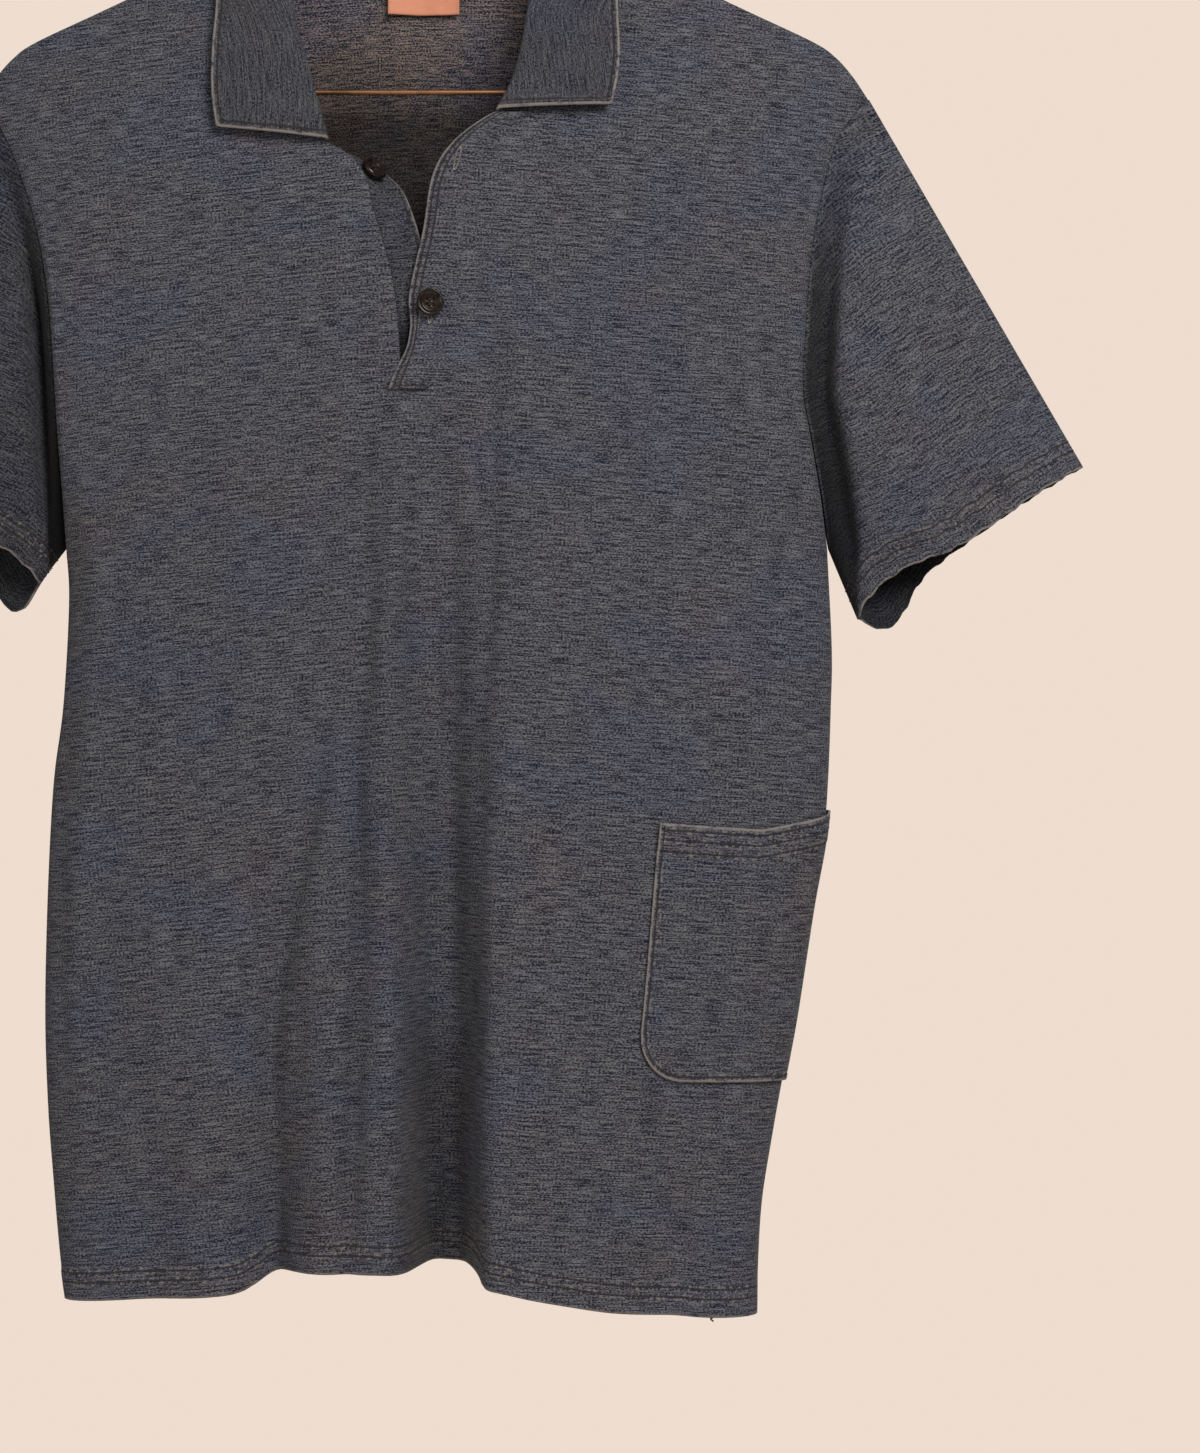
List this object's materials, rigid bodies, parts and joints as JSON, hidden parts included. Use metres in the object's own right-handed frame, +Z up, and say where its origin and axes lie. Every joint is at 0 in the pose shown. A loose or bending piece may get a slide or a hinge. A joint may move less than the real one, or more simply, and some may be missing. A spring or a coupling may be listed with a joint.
{
  "type": "polo shirt on a wire hanger",
  "caption": "Short-sleeved knitted polo shirt with a turned-down collar, open buttoned placket and low side pocket, hanging hollow and open from a bent-wire hanger.",
  "frame": {"origin": "inner top of the hanger's hook, where the rail carries it", "axes": "+X to the viewer's right (the wearer's left), -Y out of the shirt's front, +Z up"},
  "size_m": [0.6927, 0.1032, 0.853],
  "materials": {
    "knit_front": "matt charcoal slub knit",
    "knit_back": "matt charcoal slub knit",
    "knit_sleeve": "matt charcoal slub knit",
    "knit_collar": "matt charcoal knit, worn edge",
    "knit_placket": "matt charcoal knit, topstitched",
    "knit_pocket": "matt charcoal slub knit",
    "button": "dark polished",
    "label": "smooth woven, bare",
    "wire": "coppered steel wire"
  },
  "bodies": {
    "root": {"front": "knit_front", "back": "knit_back", "sleeve_left": "knit_sleeve", "sleeve_right": "knit_sleeve", "collar": "knit_collar", "placket_top": "knit_placket", "placket_under": "knit_placket", "pocket": "knit_pocket", "button_upper": "button", "button_lower": "button", "label": "label", "hanger": "wire"}
  },
  "joints": []
}
